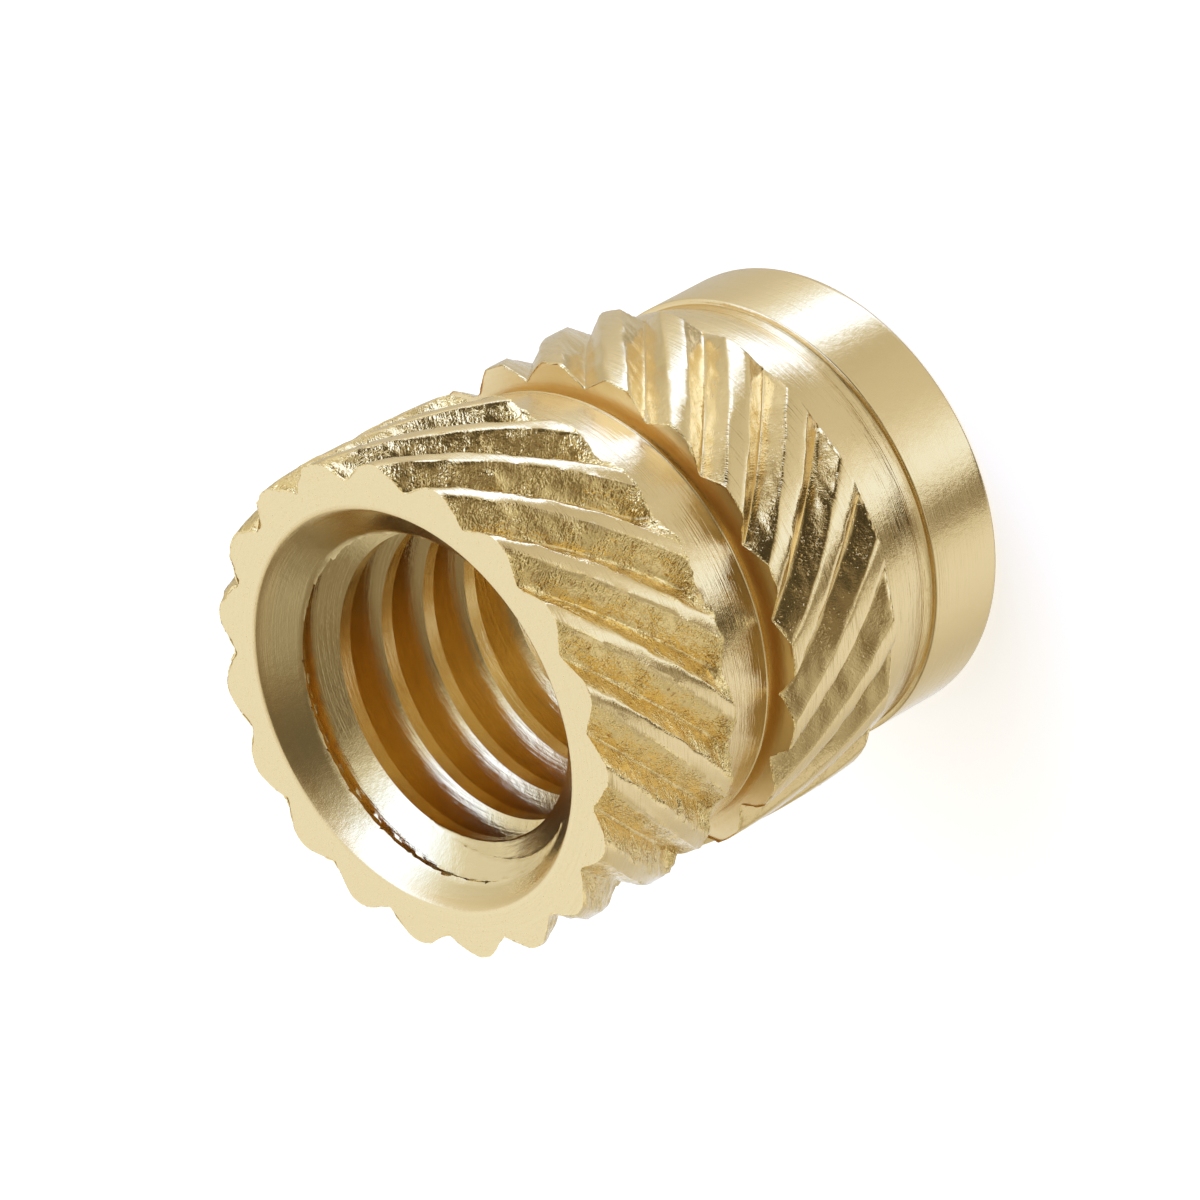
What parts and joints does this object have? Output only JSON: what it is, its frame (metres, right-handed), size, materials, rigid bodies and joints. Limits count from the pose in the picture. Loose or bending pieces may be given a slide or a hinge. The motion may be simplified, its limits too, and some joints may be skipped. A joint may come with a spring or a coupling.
{
  "type": "threaded insert",
  "caption": "Knurled brass threaded insert for plastic: two opposed helical knurled bands, a locking neck between them, a countersunk through thread and a plain pilot.",
  "frame": {"origin": "centre of the pilot's end face, which the insert stands on", "axes": "+Z along the bore, out of the countersunk mouth; X and Y lie in the end face, with no feature that sets their turn"},
  "size_m": [0.007, 0.007, 0.008],
  "materials": {
    "brass": "bare turned brass: bright turned lands, collar and pilot, fine rings, rough rolled grooves"
  },
  "bodies": {
    "root": {"insert": "brass"}
  },
  "joints": []
}
